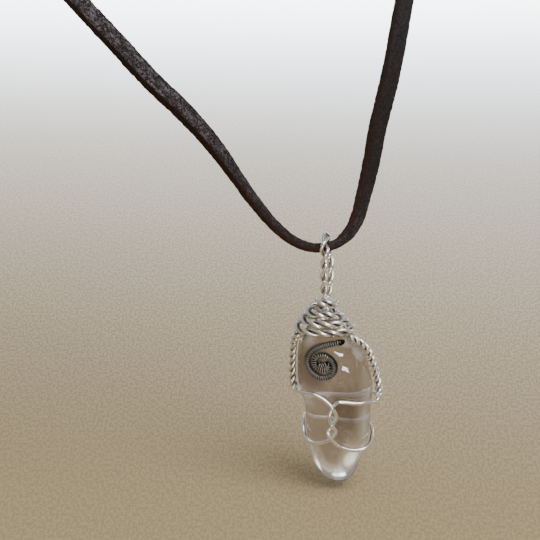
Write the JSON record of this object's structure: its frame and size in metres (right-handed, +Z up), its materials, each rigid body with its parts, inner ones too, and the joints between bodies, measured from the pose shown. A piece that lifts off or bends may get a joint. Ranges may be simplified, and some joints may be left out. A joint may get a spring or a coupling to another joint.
{
  "type": "quartz pendant necklace",
  "caption": "Clear quartz point held in twisted silver wire with a dark coiled spiral, hanging from a loop of flat brown leather lace with a barrel clasp.",
  "frame": {"origin": "centre of the neck opening, where the lace goes round a wearer's neck", "axes": "+Z up, -Y forwards to the pendant, +X the wearer's left"},
  "size_m": [0.1194, 0.1405, 0.1806],
  "materials": {
    "lace": "dark brown, matt, worn grain",
    "clasp": "satin silver",
    "quartz": "polished, clear with faint haze",
    "silver_wire": "polished silver",
    "dark_wire": "darkened silver, satin"
  },
  "bodies": {
    "necklace": {"leather_lace": "lace", "clasp": "clasp"},
    "pendant": {"quartz_stone": "quartz", "bail": "silver_wire", "neck_wrap": "silver_wire", "left_side_twist": "silver_wire", "right_side_twist": "silver_wire", "front_wire_left": "silver_wire", "front_wire_right": "silver_wire", "back_wire": "silver_wire", "spiral_coil": "dark_wire"}
  },
  "joints": [
    {"name": "pendant_swing", "type": "hinge", "parent": "necklace", "child": "pendant", "pos_m": [0, -0.074, -0.1164], "axis": [1, 0, 0], "range_deg": [-75, 75]}
  ]
}
